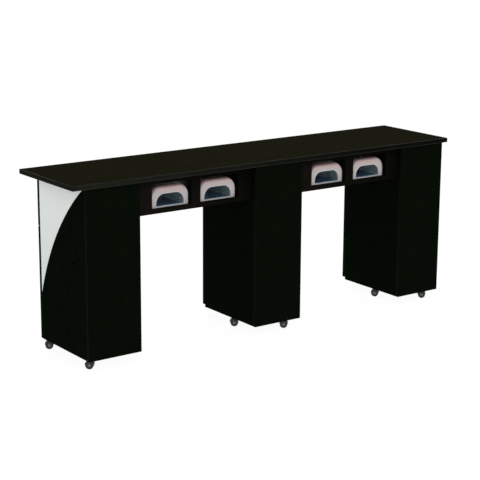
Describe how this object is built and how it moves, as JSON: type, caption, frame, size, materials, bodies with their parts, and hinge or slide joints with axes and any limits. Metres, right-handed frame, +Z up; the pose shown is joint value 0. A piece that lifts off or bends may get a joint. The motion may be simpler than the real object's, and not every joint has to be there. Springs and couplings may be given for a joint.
{
  "type": "manicure table",
  "caption": "Long two-station manicure table on narrow castored cabinets with doors and drawers, with nail dryers behind a fascia in each client bay.",
  "frame": {"origin": "on the floor, below the middle of the worktop", "axes": "+X along the worktop from the client's left to right, +Y from the client to the technician, +Z up"},
  "size_m": [2.005, 0.445, 0.775],
  "materials": {
    "worktop_laminate": "olive-black laminate, fine pore, satin",
    "black_laminate": "near-black laminate, satin",
    "fascia_laminate": "brown-black laminate, satin",
    "pale_inlay": "pale satin panel",
    "drawer_lining": "pale melamine",
    "lamp_plastic": "pinkish white moulded plastic",
    "button_plastic": "light grey plastic",
    "grommet_plastic": "black moulded plastic",
    "pull_metal": "satin chrome",
    "hinge_steel": "rolled steel",
    "castor_plastic": "dark grey nylon",
    "castor_tread": "grey rubber"
  },
  "bodies": {
    "lamp_button_1": {"lamp_button_1": "button_plastic"},
    "lamp_button_2": {"lamp_button_2": "button_plastic"},
    "lamp_button_3": {"lamp_button_3": "button_plastic"},
    "lamp_button_4": {"lamp_button_4": "button_plastic"},
    "table": {"worktop": "worktop_laminate", "end_inlay": "pale_inlay", "cable_grommet": "grommet_plastic", "left_cabinet_side_left": "black_laminate", "left_cabinet_side_right": "black_laminate", "left_cabinet_client_panel": "black_laminate", "left_cabinet_bottom": "black_laminate", "left_door_hinge": "hinge_steel", "middle_cabinet_side_left": "black_laminate", "middle_cabinet_side_right": "black_laminate", "middle_cabinet_client_panel": "black_laminate", "middle_cabinet_bottom": "black_laminate", "middle_door_hinge": "hinge_steel", "right_cabinet_side_left": "black_laminate", "right_cabinet_side_right": "black_laminate", "right_cabinet_client_panel": "black_laminate", "right_cabinet_bottom": "black_laminate", "right_door_hinge": "hinge_steel", "left_bay_fascia": "fascia_laminate", "left_bay_shelf": "black_laminate", "right_bay_fascia": "fascia_laminate", "right_bay_shelf": "black_laminate", "lamp_housing_1": "lamp_plastic", "lamp_housing_2": "lamp_plastic", "lamp_housing_3": "lamp_plastic", "lamp_housing_4": "lamp_plastic"},
    "left_door": {"left_door": "black_laminate", "left_door_pull": "pull_metal"},
    "middle_door": {"middle_door": "black_laminate", "middle_door_pull": "pull_metal"},
    "right_door": {"right_door": "black_laminate", "right_door_pull": "pull_metal"},
    "left_drawer": {"left_drawer_front": "black_laminate", "left_drawer_box": "drawer_lining", "left_drawer_pull": "pull_metal"},
    "right_drawer": {"right_drawer_front": "black_laminate", "right_drawer_box": "drawer_lining", "right_drawer_pull": "pull_metal"},
    "left_castor_1": {"left_castor_body_1": "castor_plastic"},
    "left_castor_wheels_1": {"left_castor_wheels_1": "castor_tread"},
    "left_castor_2": {"left_castor_body_2": "castor_plastic"},
    "left_castor_wheels_2": {"left_castor_wheels_2": "castor_tread"},
    "left_castor_3": {"left_castor_body_3": "castor_plastic"},
    "left_castor_wheels_3": {"left_castor_wheels_3": "castor_tread"},
    "middle_castor_1": {"middle_castor_body_1": "castor_plastic"},
    "middle_castor_wheels_1": {"middle_castor_wheels_1": "castor_tread"},
    "middle_castor_2": {"middle_castor_body_2": "castor_plastic"},
    "middle_castor_wheels_2": {"middle_castor_wheels_2": "castor_tread"},
    "middle_castor_3": {"middle_castor_body_3": "castor_plastic"},
    "middle_castor_wheels_3": {"middle_castor_wheels_3": "castor_tread"},
    "right_castor_1": {"right_castor_body_1": "castor_plastic"},
    "right_castor_wheels_1": {"right_castor_wheels_1": "castor_tread"},
    "right_castor_2": {"right_castor_body_2": "castor_plastic"},
    "right_castor_wheels_2": {"right_castor_wheels_2": "castor_tread"},
    "right_castor_3": {"right_castor_body_3": "castor_plastic"},
    "right_castor_wheels_3": {"right_castor_wheels_3": "castor_tread"}
  },
  "joints": [
    {"name": "left_door_hinge", "type": "hinge", "parent": "table", "child": "left_door", "pos_m": [-0.6845, 0.177, 0.3], "axis": [0, 0, -1], "range_deg": [0, 110]},
    {"name": "middle_door_hinge", "type": "hinge", "parent": "table", "child": "middle_door", "pos_m": [0.1505, 0.177, 0.3], "axis": [0, 0, -1], "range_deg": [0, 110]},
    {"name": "right_door_hinge", "type": "hinge", "parent": "table", "child": "right_door", "pos_m": [0.9855, 0.177, 0.3], "axis": [0, 0, -1], "range_deg": [0, 110]},
    {"name": "left_drawer_slide", "type": "slide", "parent": "table", "child": "left_drawer", "axis": [0, 1, 0], "range_m": [0, 0.28]},
    {"name": "right_drawer_slide", "type": "slide", "parent": "table", "child": "right_drawer", "axis": [0, 1, 0], "range_m": [0, 0.28]},
    {"name": "left_castor_swivel_1", "type": "hinge", "parent": "table", "child": "left_castor_1", "pos_m": [-0.907, -0.1799, 0.03], "axis": [0, 0, 1], "continuous": true},
    {"name": "left_castor_roll_1", "type": "hinge", "parent": "left_castor_1", "child": "left_castor_wheels_1", "pos_m": [-0.91443, -0.17321, 0.017], "axis": [0.6691, 0.7431, 0], "continuous": true},
    {"name": "left_castor_swivel_2", "type": "hinge", "parent": "table", "child": "left_castor_2", "pos_m": [-0.9125, 0.1495, 0.03], "axis": [0, 0, 1], "continuous": true},
    {"name": "left_castor_roll_2", "type": "hinge", "parent": "left_castor_2", "child": "left_castor_wheels_2", "pos_m": [-0.92116, 0.1545, 0.017], "axis": [0.5, 0.866, 0], "continuous": true},
    {"name": "left_castor_swivel_3", "type": "hinge", "parent": "table", "child": "left_castor_3", "pos_m": [-0.7255, -0.0105, 0.03], "axis": [0, 0, 1], "continuous": true},
    {"name": "left_castor_roll_3", "type": "hinge", "parent": "left_castor_3", "child": "left_castor_wheels_3", "pos_m": [-0.7349, -0.01392, 0.017], "axis": [-0.342, 0.9397, 0], "continuous": true},
    {"name": "middle_castor_swivel_1", "type": "hinge", "parent": "table", "child": "middle_castor_1", "pos_m": [-0.0785, -0.0365, 0.03], "axis": [0, 0, 1], "continuous": true},
    {"name": "middle_castor_roll_1", "type": "hinge", "parent": "middle_castor_1", "child": "middle_castor_wheels_1", "pos_m": [-0.08716, -0.0315, 0.017], "axis": [0.5, 0.866, 0], "continuous": true},
    {"name": "middle_castor_swivel_2", "type": "hinge", "parent": "table", "child": "middle_castor_2", "pos_m": [0.0871, -0.1848, 0.03], "axis": [0, 0, 1], "continuous": true},
    {"name": "middle_castor_roll_2", "type": "hinge", "parent": "middle_castor_2", "child": "middle_castor_wheels_2", "pos_m": [0.07944, -0.17837, 0.017], "axis": [0.6428, 0.766, 0], "continuous": true},
    {"name": "middle_castor_swivel_3", "type": "hinge", "parent": "table", "child": "middle_castor_3", "pos_m": [0.1025, 0.1195, 0.03], "axis": [0, 0, 1], "continuous": true},
    {"name": "middle_castor_roll_3", "type": "hinge", "parent": "middle_castor_3", "child": "middle_castor_wheels_3", "pos_m": [0.09431, 0.11376, 0.017], "axis": [-0.5736, 0.8192, 0], "continuous": true},
    {"name": "right_castor_swivel_1", "type": "hinge", "parent": "table", "child": "right_castor_1", "pos_m": [0.7584, -0.0347, 0.03], "axis": [0, 0, 1], "continuous": true},
    {"name": "right_castor_roll_1", "type": "hinge", "parent": "right_castor_1", "child": "right_castor_wheels_1", "pos_m": [0.75171, -0.02727, 0.017], "axis": [0.7431, 0.6691, 0], "continuous": true},
    {"name": "right_castor_swivel_2", "type": "hinge", "parent": "table", "child": "right_castor_2", "pos_m": [0.9264, -0.181, 0.03], "axis": [0, 0, 1], "continuous": true},
    {"name": "right_castor_roll_2", "type": "hinge", "parent": "right_castor_2", "child": "right_castor_wheels_2", "pos_m": [0.91874, -0.17457, 0.017], "axis": [0.6428, 0.766, 0], "continuous": true},
    {"name": "right_castor_swivel_3", "type": "hinge", "parent": "table", "child": "right_castor_3", "pos_m": [0.9375, 0.1195, 0.03], "axis": [0, 0, 1], "continuous": true},
    {"name": "right_castor_roll_3", "type": "hinge", "parent": "right_castor_3", "child": "right_castor_wheels_3", "pos_m": [0.93576, 0.10965, 0.017], "axis": [-0.9848, 0.1736, 0], "continuous": true},
    {"name": "lamp_1_button_press", "type": "slide", "parent": "table", "child": "lamp_button_1", "axis": [0, 0, 1], "range_m": [-0.002, 0], "stiffness_N_per_m": 400},
    {"name": "lamp_2_button_press", "type": "slide", "parent": "table", "child": "lamp_button_2", "axis": [0, 0, 1], "range_m": [-0.002, 0], "stiffness_N_per_m": 400},
    {"name": "lamp_3_button_press", "type": "slide", "parent": "table", "child": "lamp_button_3", "axis": [0, 0, 1], "range_m": [-0.002, 0], "stiffness_N_per_m": 400},
    {"name": "lamp_4_button_press", "type": "slide", "parent": "table", "child": "lamp_button_4", "axis": [0, 0, 1], "range_m": [-0.002, 0], "stiffness_N_per_m": 400}
  ]
}
